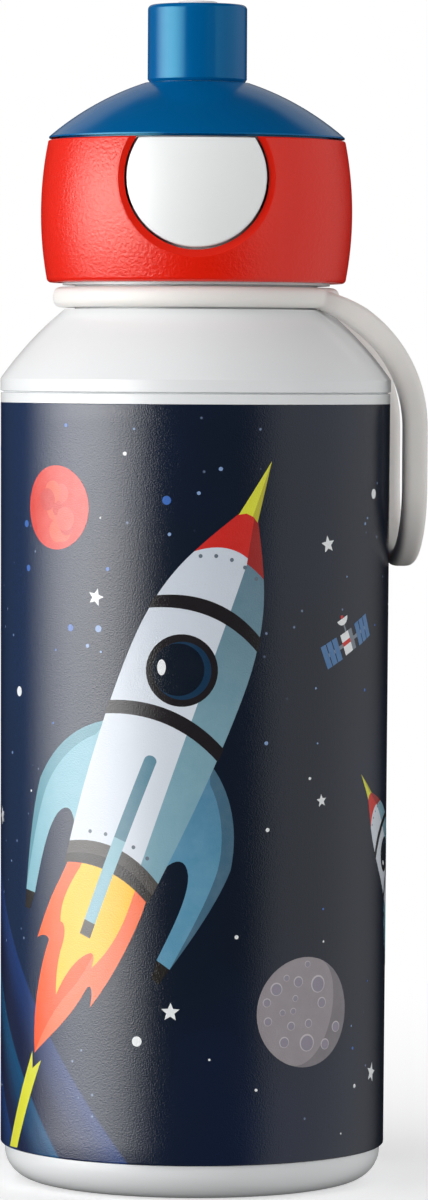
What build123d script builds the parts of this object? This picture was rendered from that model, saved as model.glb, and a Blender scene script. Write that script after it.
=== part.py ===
from build123d import *
import os
from math import asin, cos, pi, radians, sin, sqrt

# Kids water bottle with a screw cap, a pop-up drinking spout and a soft carrying strap.
# Millimetres, +Z up, origin at the centre of the foot on the table.
# The button faces -Y and the strap hangs on the +X side.

# ---- driving dimensions -------------------------------------------------------------

# Cup and label
FOOT_R = 27.0            # outer edge of the flat foot ring
FOOT_IN_R = 22.0         # inner edge of the flat foot ring
PUNT_Z = 2.2             # hollow under the floor
BASE_R = 32.0            # white base just below the label
BASE_Z = 5.4             # top of the base's rounded edge
LABEL_LOW_Z = 6.0
LABEL_TOP_Z = 132.0
LABEL_LOW_R = 32.68
LABEL_TOP_R = 33.1
LABEL_THICK = 0.55
LABEL_EDGE = 0.35
SEAM_Z = 133.8           # weld between cup and shoulder
SEAM_GROOVE_DEPTH = 0.55
SEAM_GROOVE_HALF = 0.2   # half the groove's height at the surface
CUP_WALL = 1.65
FLOOR_Z = 3.8

# Shoulder and neck
SHOULDER_R = 33.2
SHOULDER_EDGE_Z = 136.0
SHELF_Z = 147.8          # shelf under the strap ring
SHELF_R = 22.6
SEAT_R = 20.6            # neck where the strap ring turns
COLLAR_LOW_Z = 151.9     # bead that keeps the strap ring on
COLLAR_TOP_Z = 153.1
COLLAR_R = 22.7
NECK_TOP_Z = 161.5
NECK_R = 20.4            # root of the neck thread
MOUTH_R = 18.4
SPIGOT_LENGTH = 5.0      # shoulder's skirt inside the cup
SPIGOT_WALL = 1.4

# Two-start screw thread between neck and cap
THREAD_STARTS = 2
THREAD_LEAD = 6.0
THREAD_DEPTH = 1.0
THREAD_ROOT_WIDTH = 1.5
THREAD_CREST_WIDTH = 0.7
NECK_THREAD_LOW_Z = 154.5
NECK_THREAD_HEIGHT = 5.0
CAP_THREAD_ROOT_R = 21.8
CAP_THREAD_HEIGHT = 4.5

# Strap
RING_LOW_Z = 148.1
RING_TOP_Z = 151.6
RING_IN_R = 20.9
RING_OUT_R = 24.3
STRAP_DEPTH = 4.3        # measured away from the bottle
STRAP_WIDTH = 3.1        # measured along the loop's plane
STRAP_CORNER = 1.2
STRAP_HALF_GAP = 12.5    # from the loop's middle to each strand
STRAP_HANG_X = 35.6
STRAP_BEND_R = 22.3      # over the shoulder
STRAP_BEND_Z = 128.0
STRAP_TURN_Z = 118.3     # where the round end of the loop begins
STRAP_PIVOT_X = 23.6
STRAP_ROOT_X = 20.6
STRAP_RELIEF_R = 3.15    # room for the strand's round end in the ring's lugs
STRAP_ANGLE = 8.7        # the loop sits a little behind the right-hand side

# Cap shell and its inner part
SHELL_LOW_Z = 152.3
SHELL_TOP_Z = 176.4
SHELL_LOW_R = 25.3
SHELL_BELLY_R = 26.43
SHELL_BELLY_Z = 163.4
SHELL_TOP_R = 25.2
SHELL_LOW_EDGE = 0.8
SHELL_TOP_EDGE = 0.3
SHELL_WALL = 1.45
SHELL_LOW_IN_R = 24.0
SHELL_TOP_IN_R = 23.7
SKIRT_LOW_Z = 153.4
SKIRT_R = 23.1
DECK_LOW_Z = 163.0
DECK_TOP_Z = 164.7
GUIDE_IN_R = 22.4        # wall around the pop-up lid
GUIDE_OUT_R = 23.4
GUIDE_TOP_Z = 175.6
GUIDE_GAP = 13.4         # half width of its gap behind the button
TUBE_IN_R = 8.4          # drinking tube that the lid's stem slides in
TUBE_OUT_R = 9.6
TUBE_TOP_Z = 178.0
FLOW_HOLES = 6
FLOW_HOLE_R = 1.6
FLOW_HOLE_CIRCLE = 5.9
GASKET_IN_R = 17.9
GASKET_OUT_R = 20.6

# Button and latch
BUTTON_Z = 169.6
BUTTON_R = 11.65
BUTTON_GAP = 0.4
BUTTON_TOP_Z = 176.2
BUTTON_WALL = 1.0
BUTTON_SINK = 0.15       # the button's face lies this far inside the shell's face
BUTTON_EDGE = 0.35
BEVEL_WIDTH = 1.2        # sloping ring around the button's opening
BEVEL_DEPTH = 0.7
BUTTON_TRAVEL = 1.5
TONGUE_LOW_Z = 165.0
TONGUE_TOP_Z = 168.0
TONGUE_HALF_WIDTH = 5.5
TONGUE_FRONT_Y = -24.0
TONGUE_GAP = 0.6         # between the pressed tongue and the lift spring
HOOK_HALF_WIDTH = 4.6
HOOK_TOP_Z = 172.0
HOOK_R = 20.4
HOOK_FRONT_Y = -19.6
HOOK_BACK_Y = -17.8
OUTSIDE = 30.0           # anything clear of the cap
SPRING_POST_Y = -19.4
SPRING_POST_DEPTH = 1.8
SPRING_X = 7.9
SPRING_Z = 166.4
SPRING_PAD_Y = -23.4
SPRING_PAD = 3.0
SPRING_R = 1.05          # wire centre
SPRING_WIRE_R = 0.25
SPRING_TURNS = 3.5

# Pop-up lid: dome, carrier and spout
DOME_LOW_Z = 176.75
DOME_R = 25.1
DOME_MID = (16.9, 182.7)
DOME_TOP = (8.9, 186.2)
DOME_RIB_Z = 176.5
DOME_RIB_R = 23.2
DOME_UNDER_MID = (15.9, 181.3)
DOME_UNDER_TOP_Z = 184.7
CARRIER_R = 22.0
CARRIER_IN_R = 20.8
CARRIER_LOW_Z = 168.4
STEM_LOW_Z = 165.9
STEM_R = 8.0
STEM_TOP_R = 7.3
STEM_TOP_Z = 190.0
STEM_BORE_R = 5.9
WEB_UNDER_Z = 178.6
WEB_THICK = 1.5
WEB_FLAT_R = 13.0
WINDOW_HALF_WIDTH = 5.4
WINDOW_LOW_Z = 170.0
WINDOW_TOP_Z = 172.6
SPOUT_LOW_Z = 186.3
SPOUT_TOP_Z = 199.4
SPOUT_R = 8.42
SPOUT_EDGE = 0.8
SPOUT_BORE_R = 5.4
SPOUT_HOLE_R = 3.9
SPOUT_HOLE_LOW_Z = 195.2

# Valve pin, seals, lift spring and vent
PIN_R = 3.0
PIN_HEAD_R = 3.55
PIN_HEAD_LOW_Z = 194.4
PIN_TOP_Z = 200.0
PIN_FLANGE_R = 3.9
PIN_SPIGOT_R = 2.0
PIN_CLIP_R = 2.6
PIN_SEAL_Z = 197.0
PIN_SEAL_WIRE_R = 0.5
PIN_SEAL_OUT_R = 3.85
STEM_SEAL_Z = 167.7
STEM_SEAL_WIRE_R = 0.6
STEM_SEAL_OUT_R = 8.35
LIFT_SPRING_R = 10.9
LIFT_SPRING_WIRE_R = 0.6
LIFT_SPRING_TURNS = 4.5
VENT_Y = 14.6
VENT_STEM_R = 0.9
VENT_CAP_R = 2.4


# ---- helpers ------------------------------------------------------------------------

def turned(outline):
    """Turns a closed outline of (radius, height) lines about the bottle's axis."""
    return revolve(Plane.XZ * make_face(outline), Axis.Z)


def turned_points(*points):
    return turned(Polyline(*points, close=True))


def block(low, high):
    """A box from its lowest to its highest corner."""
    size = [b - a for a, b in zip(low, high)]
    return Pos(*low) * Box(*size, align=(Align.MIN, Align.MIN, Align.MIN))


def drum(radius, low_z, high_z, x=0.0, y=0.0):
    """An upright cylinder."""
    return Pos(x, y, low_z) * Cylinder(radius, high_z - low_z, align=(Align.CENTER, Align.CENTER, Align.MIN))


def front_drum(radius, z):
    """A cylinder that runs from the axis out through the front of the cap."""
    return Pos(0, 0, z) * Rot(90, 0, 0) * Cylinder(radius, 40, align=(Align.CENTER, Align.CENTER, Align.MIN))


def o_ring(out_r, wire_r, z):
    return Pos(0, 0, z) * Torus(out_r - wire_r, wire_r)


def cone_r(z, low, high):
    """Radius at height z on the straight line between two (radius, height) points."""
    share = (z - low[1]) / (high[1] - low[1])
    return low[0] + share * (high[0] - low[0])


def thread(root_r, low_z, height, outward):
    """All starts of a trapezoid thread whose root stands on a cylinder of root_r."""
    way = 1 if outward else -1
    sink = 0.15
    turns = []
    for start in range(THREAD_STARTS):
        path = Helix(THREAD_LEAD, height, root_r)
        section = Polyline(
            (root_r - way * sink, -THREAD_ROOT_WIDTH / 2),
            (root_r + way * THREAD_DEPTH, -THREAD_CREST_WIDTH / 2),
            (root_r + way * THREAD_DEPTH, THREAD_CREST_WIDTH / 2),
            (root_r - way * sink, THREAD_ROOT_WIDTH / 2),
            close=True,
        )
        ridge = sweep(Plane.XZ * make_face(section), path=path, is_frenet=True)
        turns.append(Pos(0, 0, low_z) * Rot(0, 0, start * 360 / THREAD_STARTS) * ridge)
    return turns


def coil(radius, wire_r, length, turns):
    """A compression spring along +Z from 0 to length, with both ends ground flat."""
    path = Helix((length - wire_r) / turns, length - wire_r, radius, center=(0, 0, wire_r / 2))
    section = Plane(origin=path @ 0, z_dir=path % 0) * Circle(wire_r)
    wire = sweep(section, path=path, is_frenet=True)
    reach = radius + 2 * wire_r
    return wire & block((-reach, -reach, 0), (reach, reach, length))


def belly_arc(inset):
    """The cap's barrel line, moved inward."""
    return (
        (SHELL_LOW_R - inset, SHELL_LOW_Z),
        (SHELL_BELLY_R - inset, SHELL_BELLY_Z),
        (SHELL_TOP_R - inset, SHELL_TOP_Z),
    )


def barrel(inset):
    """The solid inside the cap's barrel line."""
    low, middle, high = belly_arc(inset)
    outline = ThreePointArc(low, middle, high) + Polyline(high, (0, high[1]), (0, low[1]), low)
    return turned(outline)


# ---- bottle -------------------------------------------------------------------------

LABEL_LOW = (LABEL_LOW_R - LABEL_THICK, LABEL_LOW_Z)
LABEL_TOP = (LABEL_TOP_R - LABEL_THICK, LABEL_TOP_Z)


def bottle_cup():
    inner_top_r = LABEL_TOP[0] - CUP_WALL
    inner_low_r = LABEL_LOW[0] - CUP_WALL
    foot_round = 0.7071
    foot_mid = (
        FOOT_R + (BASE_R - FOOT_R) * foot_round,
        BASE_Z * (1 - foot_round),
    )
    floor_round = 6.0
    outline = Polyline((0, PUNT_Z), (FOOT_IN_R - 1.5, PUNT_Z), (FOOT_IN_R, 0), (FOOT_R, 0))
    outline += ThreePointArc((FOOT_R, 0), foot_mid, (BASE_R, BASE_Z))
    outline += Polyline(
        (BASE_R, BASE_Z),
        (BASE_R, LABEL_LOW_Z),
        LABEL_LOW,
        LABEL_TOP,
        (LABEL_TOP_R, LABEL_TOP_Z),
        (LABEL_TOP_R, SEAM_Z - SEAM_GROOVE_HALF),
        (LABEL_TOP_R - SEAM_GROOVE_DEPTH, SEAM_Z),
        (inner_top_r, SEAM_Z),
        (inner_low_r, FLOOR_Z + floor_round),
    )
    outline += ThreePointArc(
        (inner_low_r, FLOOR_Z + floor_round),
        (inner_low_r - floor_round * (1 - foot_round), FLOOR_Z + floor_round * (1 - foot_round)),
        (inner_low_r - floor_round, FLOOR_Z),
    )
    outline += Polyline((inner_low_r - floor_round, FLOOR_Z), (0, FLOOR_Z), (0, PUNT_Z))
    return turned(outline)


def label_wrap():
    """Printed sleeve around the cup, with eased edges."""
    outer_low = (cone_r(LABEL_LOW_Z + LABEL_EDGE, (LABEL_LOW_R, LABEL_LOW_Z), (LABEL_TOP_R, LABEL_TOP_Z)),
                 LABEL_LOW_Z + LABEL_EDGE)
    return turned_points(
        LABEL_LOW,
        (LABEL_LOW_R - LABEL_EDGE, LABEL_LOW_Z),
        outer_low,
        (LABEL_TOP_R, LABEL_TOP_Z),
        LABEL_TOP,
    )


def bottle_shoulder():
    spigot_r = LABEL_TOP[0] - CUP_WALL - 0.05
    bore_r = spigot_r - SPIGOT_WALL
    spigot_low_z = SEAM_Z - SPIGOT_LENGTH
    outline = Polyline(
        (bore_r, spigot_low_z),
        (spigot_r, spigot_low_z),
        (spigot_r, SEAM_Z),
        (LABEL_TOP_R - SEAM_GROOVE_DEPTH, SEAM_Z),
        (SHOULDER_R, SEAM_Z + SEAM_GROOVE_HALF),
        (SHOULDER_R, SHOULDER_EDGE_Z),
    )
    outline += ThreePointArc((SHOULDER_R, SHOULDER_EDGE_Z), (28.7, 141.7), (SHELF_R, SHELF_Z - 0.2))
    outline += Polyline(
        (SHELF_R, SHELF_Z - 0.2),
        (SHELF_R - 0.2, SHELF_Z),
        (SEAT_R, SHELF_Z),
        (SEAT_R, COLLAR_LOW_Z),
        (COLLAR_R, COLLAR_LOW_Z),
        (COLLAR_R, COLLAR_TOP_Z - 0.3),
        (COLLAR_R - 0.3, COLLAR_TOP_Z),
        (NECK_R, COLLAR_TOP_Z),
        (NECK_R, NECK_TOP_Z - 0.4),
        (NECK_R - 0.4, NECK_TOP_Z),
        (MOUTH_R, NECK_TOP_Z),
        (MOUTH_R, 147.0),
    )
    outline += ThreePointArc((MOUTH_R, 147.0), (26.3, 140.7), (bore_r, 134.6))
    outline += Line((bore_r, 134.6), (bore_r, spigot_low_z))
    body = turned(outline)
    for ridge in thread(NECK_R, NECK_THREAD_LOW_Z, NECK_THREAD_HEIGHT, outward=True):
        body += ridge
    return body


# ---- strap --------------------------------------------------------------------------

STRAP_BEND_X = STRAP_HANG_X - STRAP_BEND_R


def bend_z(x):
    """Height of a strand's centre line where it bends over the shoulder."""
    return STRAP_BEND_Z + sqrt(STRAP_BEND_R**2 - (x - STRAP_BEND_X) ** 2)


def bend_point(x, y):
    return (x, y, bend_z(x))


def strand_sweep(path):
    start = Plane(origin=path @ 0, x_dir=(0, 1, 0), z_dir=path % 0)
    section = start * RectangleRounded(STRAP_WIDTH, STRAP_DEPTH, STRAP_CORNER)
    return sweep(section, path=path, transition=Transition.ROUND)


def strap_angle(shape):
    return Rot(0, 0, STRAP_ANGLE) * shape


def pivot_drum(radius, y):
    """A cylinder across one strand, on the line where the loop bends at the ring."""
    return (
        Pos(STRAP_PIVOT_X, y, bend_z(STRAP_PIVOT_X))
        * Rot(90, 0, 0)
        * Cylinder(radius, STRAP_WIDTH + 2 * (radius > STRAP_DEPTH / 2))
    )


def bend_arc(x_from, x_to, y):
    x_mid = (x_from + x_to) / 2
    if x_to == STRAP_HANG_X:
        turn = asin((x_from - STRAP_BEND_X) / STRAP_BEND_R)
        half = (turn + pi / 2) / 2
        x_mid = STRAP_BEND_X + STRAP_BEND_R * sin(half)
    return ThreePointArc(bend_point(x_from, y), bend_point(x_mid, y), bend_point(x_to, y))


def strap_ring():
    """Soft ring that turns on the neck, with two lugs where the loop starts."""
    edge = 1.1
    rim = 0.7071
    outline = Polyline(
        (RING_OUT_R - edge, RING_LOW_Z),
        (RING_IN_R, RING_LOW_Z),
        (RING_IN_R, RING_TOP_Z),
        (RING_OUT_R - edge, RING_TOP_Z),
    )
    outline += ThreePointArc(
        (RING_OUT_R - edge, RING_TOP_Z),
        (RING_OUT_R - edge * (1 - rim), RING_TOP_Z - edge * (1 - rim)),
        (RING_OUT_R, RING_TOP_Z - edge),
    )
    outline += Line((RING_OUT_R, RING_TOP_Z - edge), (RING_OUT_R, RING_LOW_Z + edge))
    outline += ThreePointArc(
        (RING_OUT_R, RING_LOW_Z + edge),
        (RING_OUT_R - edge * (1 - rim), RING_LOW_Z + edge * (1 - rim)),
        (RING_OUT_R - edge, RING_LOW_Z),
    )
    ring = turned(outline)
    room = turned_points((0, SHELF_Z - 0.3), (RING_IN_R, SHELF_Z - 0.3), (RING_IN_R, 155), (0, 155))
    shelf_room = drum(SHELF_R + 0.5, SHELF_Z - 3, RING_LOW_Z)
    for y in (-STRAP_HALF_GAP, STRAP_HALF_GAP):
        lug = strand_sweep(bend_arc(STRAP_ROOT_X, STRAP_PIVOT_X, y))
        lug = lug - room - shelf_room - pivot_drum(STRAP_RELIEF_R, y)
        lug = lug & drum(40, RING_LOW_Z - 3, RING_TOP_Z)
        ring += lug
    return strap_angle(ring)


def strap_loop():
    """Carrying loop: over the shoulder, down the side and round at the end."""
    front = -STRAP_HALF_GAP
    back = STRAP_HALF_GAP
    turn_low = (STRAP_HANG_X, 0, STRAP_TURN_Z - STRAP_HALF_GAP)
    path = bend_arc(STRAP_PIVOT_X, STRAP_HANG_X, front)
    path += Line(bend_point(STRAP_HANG_X, front), (STRAP_HANG_X, front, STRAP_TURN_Z))
    path += ThreePointArc((STRAP_HANG_X, front, STRAP_TURN_Z), turn_low, (STRAP_HANG_X, back, STRAP_TURN_Z))
    path += Line((STRAP_HANG_X, back, STRAP_TURN_Z), bend_point(STRAP_HANG_X, back))
    back_arc = bend_arc(STRAP_PIVOT_X, STRAP_HANG_X, back)
    path += ThreePointArc(back_arc @ 1, back_arc @ 0.5, back_arc @ 0)
    loop = strand_sweep(path)
    for y in (front, back):
        loop += pivot_drum(STRAP_DEPTH / 2, y)
    return strap_angle(loop)


# ---- cap ----------------------------------------------------------------------------

def cap_shell():
    low, middle, high = belly_arc(0)
    in_low_z = SKIRT_LOW_Z + 1.8
    in_high_z = GUIDE_TOP_Z - 1.2
    outline = Polyline((SHELL_LOW_IN_R, SHELL_LOW_Z), low)
    outline += ThreePointArc(low, middle, high)
    outline += Polyline(
        high,
        (SHELL_TOP_IN_R, SHELL_TOP_Z),
        (SHELL_TOP_IN_R, in_high_z),
    )
    outline += ThreePointArc(
        (SHELL_TOP_IN_R, in_high_z),
        (SHELL_BELLY_R - SHELL_WALL, SHELL_BELLY_Z + 1),
        (SHELL_LOW_IN_R, in_low_z),
    )
    outline += Line((SHELL_LOW_IN_R, in_low_z), (SHELL_LOW_IN_R, SHELL_LOW_Z))
    shell = turned(outline) - front_drum(BUTTON_R + BUTTON_GAP, BUTTON_Z)
    window_rim = shell.edges().filter_by(GeomType.BSPLINE).sort_by(SortBy.LENGTH)[-1]
    shell = chamfer(window_rim, BEVEL_WIDTH, BEVEL_DEPTH)
    shell = fillet(outer_rim(shell, SHELL_LOW_Z), SHELL_LOW_EDGE)
    return fillet(outer_rim(shell, SHELL_TOP_Z), SHELL_TOP_EDGE)


def outer_rim(shell, z):
    """The outermost edges of the shell at height z."""
    level = [edge for edge in shell.edges().filter_by(GeomType.CIRCLE) if abs(edge.center().Z - z) < 0.01]
    return [edge for edge in level if edge.radius > SHELL_LOW_IN_R + 1]


def cap_insert():
    """Threaded inner cap: skirt, deck, guide wall and the drinking tube."""
    body = turned_points(
        (CAP_THREAD_ROOT_R, SKIRT_LOW_Z),
        (SHELL_LOW_IN_R, SKIRT_LOW_Z),
        (SHELL_LOW_IN_R, SKIRT_LOW_Z + 1.2),
        (SKIRT_R, SKIRT_LOW_Z + 1.9),
        (SKIRT_R, DECK_TOP_Z),
        (GUIDE_OUT_R, DECK_TOP_Z + 0.3),
        (GUIDE_OUT_R, GUIDE_TOP_Z - 1.0),
        (SHELL_TOP_IN_R, GUIDE_TOP_Z - 1.0),
        (SHELL_TOP_IN_R, GUIDE_TOP_Z),
        (GUIDE_IN_R, GUIDE_TOP_Z),
        (GUIDE_IN_R, DECK_TOP_Z),
        (TUBE_OUT_R, DECK_TOP_Z),
        (TUBE_OUT_R, TUBE_TOP_Z),
        (TUBE_IN_R, TUBE_TOP_Z),
        (TUBE_IN_R, DECK_TOP_Z),
        (0, DECK_TOP_Z),
        (0, DECK_LOW_Z),
        (CAP_THREAD_ROOT_R, DECK_LOW_Z),
    )
    low_z = NECK_THREAD_LOW_Z + THREAD_LEAD / THREAD_STARTS / 2
    for ridge in thread(CAP_THREAD_ROOT_R, low_z, CAP_THREAD_HEIGHT, outward=False):
        body += ridge
    body -= block((-GUIDE_GAP, -OUTSIDE, DECK_TOP_Z), (GUIDE_GAP, -CARRIER_R / 2, DOME_LOW_Z))
    for side in (-1, 1):
        near = side * (TONGUE_HALF_WIDTH + 0.3)
        far = side * (SPRING_X + 1.9)
        body += block(
            (min(near, far), SPRING_POST_Y, DECK_TOP_Z),
            (max(near, far), SPRING_POST_Y + SPRING_POST_DEPTH, TONGUE_TOP_Z),
        )
    body -= drum(PIN_SPIGOT_R, DECK_LOW_Z, DECK_TOP_Z)
    for hole in range(FLOW_HOLES):
        angle = radians(hole * 360 / FLOW_HOLES)
        x = FLOW_HOLE_CIRCLE * cos(angle)
        y = FLOW_HOLE_CIRCLE * sin(angle)
        body -= drum(FLOW_HOLE_R, DECK_LOW_Z, DECK_TOP_Z, x, y)
    return body - drum(VENT_STEM_R, DECK_LOW_Z, DECK_TOP_Z, 0, VENT_Y)


def neck_gasket():
    return turned_points(
        (GASKET_IN_R, NECK_TOP_Z),
        (GASKET_OUT_R, NECK_TOP_Z),
        (GASKET_OUT_R, DECK_LOW_Z),
        (GASKET_IN_R, DECK_LOW_Z),
    )


def valve_pin():
    """Fixed pin that closes the spout's hole while the lid is down."""
    groove_r = PIN_SEAL_OUT_R - 2 * PIN_SEAL_WIRE_R
    half_groove = PIN_SEAL_WIRE_R + 0.1
    round_r = 0.6
    outline = Polyline(
        (0, DECK_LOW_Z - 1.4),
        (PIN_SPIGOT_R, DECK_LOW_Z - 1.4),
        (PIN_CLIP_R, DECK_LOW_Z - 0.5),
        (PIN_CLIP_R, DECK_LOW_Z),
        (PIN_SPIGOT_R, DECK_LOW_Z),
        (PIN_SPIGOT_R, DECK_TOP_Z),
        (PIN_FLANGE_R, DECK_TOP_Z),
        (PIN_FLANGE_R, DECK_TOP_Z + 0.8),
        (PIN_R, DECK_TOP_Z + 0.8),
        (PIN_R, PIN_HEAD_LOW_Z - 0.6),
        (PIN_HEAD_R, PIN_HEAD_LOW_Z),
        (PIN_HEAD_R, PIN_SEAL_Z - half_groove),
        (groove_r, PIN_SEAL_Z - half_groove),
        (groove_r, PIN_SEAL_Z + half_groove),
        (PIN_HEAD_R, PIN_SEAL_Z + half_groove),
        (PIN_HEAD_R, PIN_TOP_Z - round_r),
    )
    outline += ThreePointArc(
        (PIN_HEAD_R, PIN_TOP_Z - round_r),
        (PIN_HEAD_R - 0.29 * round_r, PIN_TOP_Z - 0.29 * round_r),
        (PIN_HEAD_R - round_r, PIN_TOP_Z),
    )
    outline += Polyline((PIN_HEAD_R - round_r, PIN_TOP_Z), (0, PIN_TOP_Z), (0, DECK_LOW_Z - 1.4))
    return turned(outline)


def vent_valve():
    """Umbrella valve that lets air into the bottle."""
    body = drum(VENT_STEM_R, DECK_LOW_Z, DECK_TOP_Z, 0, VENT_Y)
    body += Pos(0, VENT_Y, DECK_LOW_Z - 0.45) * Cylinder(VENT_CAP_R, 0.9)
    bead = Pos(0, VENT_Y, DECK_TOP_Z + 0.5) * Cone(VENT_STEM_R + 0.5, VENT_STEM_R - 0.2, 1.0)
    return body + bead


# ---- button and latch ---------------------------------------------------------------

def push_button():
    """Round button that follows the cap's curve and is cut level below the dome."""
    plate = barrel(BUTTON_SINK) - barrel(BUTTON_SINK + BUTTON_WALL)
    plate = plate & front_drum(BUTTON_R, BUTTON_Z)
    plate = plate & block((-OUTSIDE, -OUTSIDE, DECK_LOW_Z - 10), (OUTSIDE, 0, BUTTON_TOP_Z))
    plate = fillet(plate.faces().sort_by(Axis.Y)[0].edges(), BUTTON_EDGE)
    keep = barrel(BUTTON_SINK + BUTTON_WALL / 2)
    boss = block(
        (-TONGUE_HALF_WIDTH, -OUTSIDE, TONGUE_LOW_Z),
        (TONGUE_HALF_WIDTH, TONGUE_FRONT_Y, TONGUE_TOP_Z),
    )
    plate += boss & keep
    for x in (-SPRING_X, SPRING_X):
        half = SPRING_PAD / 2
        pad = block((x - half, -OUTSIDE, SPRING_Z - half), (x + half, SPRING_PAD_Y, SPRING_Z + half))
        plate += pad & keep
    return plate


def latch_slide():
    """Tongue behind the button, with the hook that holds the lid's carrier down."""
    back_y = -(LIFT_SPRING_R + LIFT_SPRING_WIRE_R + TONGUE_GAP + BUTTON_TRAVEL)
    tongue = block(
        (-TONGUE_HALF_WIDTH, TONGUE_FRONT_Y, TONGUE_LOW_Z),
        (TONGUE_HALF_WIDTH, back_y, TONGUE_TOP_Z),
    )
    post = block((-HOOK_HALF_WIDTH, HOOK_FRONT_Y, TONGUE_TOP_Z), (HOOK_HALF_WIDTH, HOOK_BACK_Y, HOOK_TOP_Z))
    nose = block((-HOOK_HALF_WIDTH, -HOOK_R, WINDOW_LOW_Z + 0.2), (HOOK_HALF_WIDTH, HOOK_FRONT_Y, HOOK_TOP_Z))
    return tongue + post + (nose & drum(HOOK_R, TONGUE_LOW_Z, HOOK_TOP_Z))


def button_spring(side):
    """Small spring that pushes the button back out."""
    length = SPRING_POST_Y - SPRING_PAD_Y
    spring = coil(SPRING_R, SPRING_WIRE_R, length, SPRING_TURNS)
    return Pos(side * SPRING_X, SPRING_POST_Y, SPRING_Z) * Rot(90, 0, 0) * spring


# ---- pop-up lid ---------------------------------------------------------------------

def popup_dome():
    rim_top = (DOME_R, DOME_LOW_Z + 0.25)
    outline = ThreePointArc(rim_top, DOME_MID, DOME_TOP)
    outline += Polyline(DOME_TOP, (STEM_TOP_R, DOME_TOP[1]), (STEM_TOP_R, DOME_UNDER_TOP_Z))
    outline += ThreePointArc((STEM_TOP_R, DOME_UNDER_TOP_Z), DOME_UNDER_MID, (CARRIER_R, DOME_LOW_Z + 0.5))
    outline += Polyline(
        (CARRIER_R, DOME_LOW_Z + 0.5),
        (CARRIER_R, DOME_RIB_Z),
        (DOME_RIB_R, DOME_RIB_Z),
        (DOME_RIB_R, DOME_LOW_Z),
        (DOME_R, DOME_LOW_Z),
        rim_top,
    )
    return turned(outline)


def popup_carrier():
    """Inner part of the lid: the stem, a web and the skirt that the latch holds."""
    groove_r = STEM_SEAL_OUT_R - 2 * STEM_SEAL_WIRE_R
    half_groove = STEM_SEAL_WIRE_R + 0.1
    web_low_z = WEB_UNDER_Z - 2.6
    body = turned_points(
        (STEM_BORE_R, STEM_LOW_Z),
        (STEM_R, STEM_LOW_Z),
        (STEM_R, STEM_SEAL_Z - half_groove),
        (groove_r, STEM_SEAL_Z - half_groove),
        (groove_r, STEM_SEAL_Z + half_groove),
        (STEM_R, STEM_SEAL_Z + half_groove),
        (STEM_R, WEB_UNDER_Z),
        (WEB_FLAT_R, WEB_UNDER_Z),
        (CARRIER_IN_R, web_low_z),
        (CARRIER_IN_R, CARRIER_LOW_Z),
        (CARRIER_R, CARRIER_LOW_Z),
        (CARRIER_R, web_low_z + 1.0),
        (WEB_FLAT_R, WEB_UNDER_Z + WEB_THICK),
        (STEM_TOP_R, WEB_UNDER_Z + WEB_THICK),
        (STEM_TOP_R, STEM_TOP_Z),
        (STEM_BORE_R, STEM_TOP_Z),
    )
    return body - block(
        (-WINDOW_HALF_WIDTH, -OUTSIDE, WINDOW_LOW_Z),
        (WINDOW_HALF_WIDTH, HOOK_BACK_Y, WINDOW_TOP_Z),
    )


def spout_barrel():
    edge = 0.7071
    outline = Polyline(
        (STEM_TOP_R, SPOUT_LOW_Z),
        (SPOUT_R - 0.35, SPOUT_LOW_Z),
        (SPOUT_R, SPOUT_LOW_Z + 0.5),
        (SPOUT_R, SPOUT_TOP_Z - SPOUT_EDGE),
    )
    outline += ThreePointArc(
        (SPOUT_R, SPOUT_TOP_Z - SPOUT_EDGE),
        (SPOUT_R - SPOUT_EDGE * (1 - edge), SPOUT_TOP_Z - SPOUT_EDGE * (1 - edge)),
        (SPOUT_R - SPOUT_EDGE, SPOUT_TOP_Z),
    )
    outline += Polyline(
        (SPOUT_R - SPOUT_EDGE, SPOUT_TOP_Z),
        (SPOUT_HOLE_R + 0.3, SPOUT_TOP_Z),
        (SPOUT_HOLE_R, SPOUT_TOP_Z - 0.3),
        (SPOUT_HOLE_R, SPOUT_HOLE_LOW_Z),
        (SPOUT_BORE_R, SPOUT_HOLE_LOW_Z - 1.3),
        (SPOUT_BORE_R, STEM_TOP_Z),
        (STEM_TOP_R, STEM_TOP_Z),
        (STEM_TOP_R, SPOUT_LOW_Z),
    )
    return turned(outline)


def lift_spring():
    """Spring between the deck and the lid's web, drawn with the lid down."""
    spring = coil(LIFT_SPRING_R, LIFT_SPRING_WIRE_R, WEB_UNDER_Z - DECK_TOP_Z, LIFT_SPRING_TURNS)
    return Pos(0, 0, DECK_TOP_Z) * spring


# ---- write one file per node --------------------------------------------------------

NODES = {
    "bottle_cup": bottle_cup,
    "label_wrap": label_wrap,
    "bottle_shoulder": bottle_shoulder,
    "strap_ring": strap_ring,
    "strap_loop": strap_loop,
    "cap_shell": cap_shell,
    "cap_insert": cap_insert,
    "neck_gasket": neck_gasket,
    "valve_pin": valve_pin,
    "pin_seal": lambda: o_ring(PIN_SEAL_OUT_R, PIN_SEAL_WIRE_R, PIN_SEAL_Z),
    "vent_valve": vent_valve,
    "push_button": push_button,
    "latch_slide": latch_slide,
    "button_spring_left": lambda: button_spring(-1),
    "button_spring_right": lambda: button_spring(1),
    "popup_dome": popup_dome,
    "popup_carrier": popup_carrier,
    "spout_barrel": spout_barrel,
    "stem_seal": lambda: o_ring(STEM_SEAL_OUT_R, STEM_SEAL_WIRE_R, STEM_SEAL_Z),
    "lift_spring": lift_spring,
}

os.makedirs("parts", exist_ok=True)
for node, make in NODES.items():
    export_step(make(), f"parts/{node}.step")

inside_r = LABEL_TOP[0] - CUP_WALL
print("capacity below the neck, ml:", round(pi * inside_r**2 * (SEAM_Z - FLOOR_Z) / 1000))
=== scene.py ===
import random
from math import asin, cos, hypot, pi, radians, sin, sqrt

import bpy
from mathutils import Matrix, Vector
from mathutils.geometry import delaunay_2d_cdt


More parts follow.
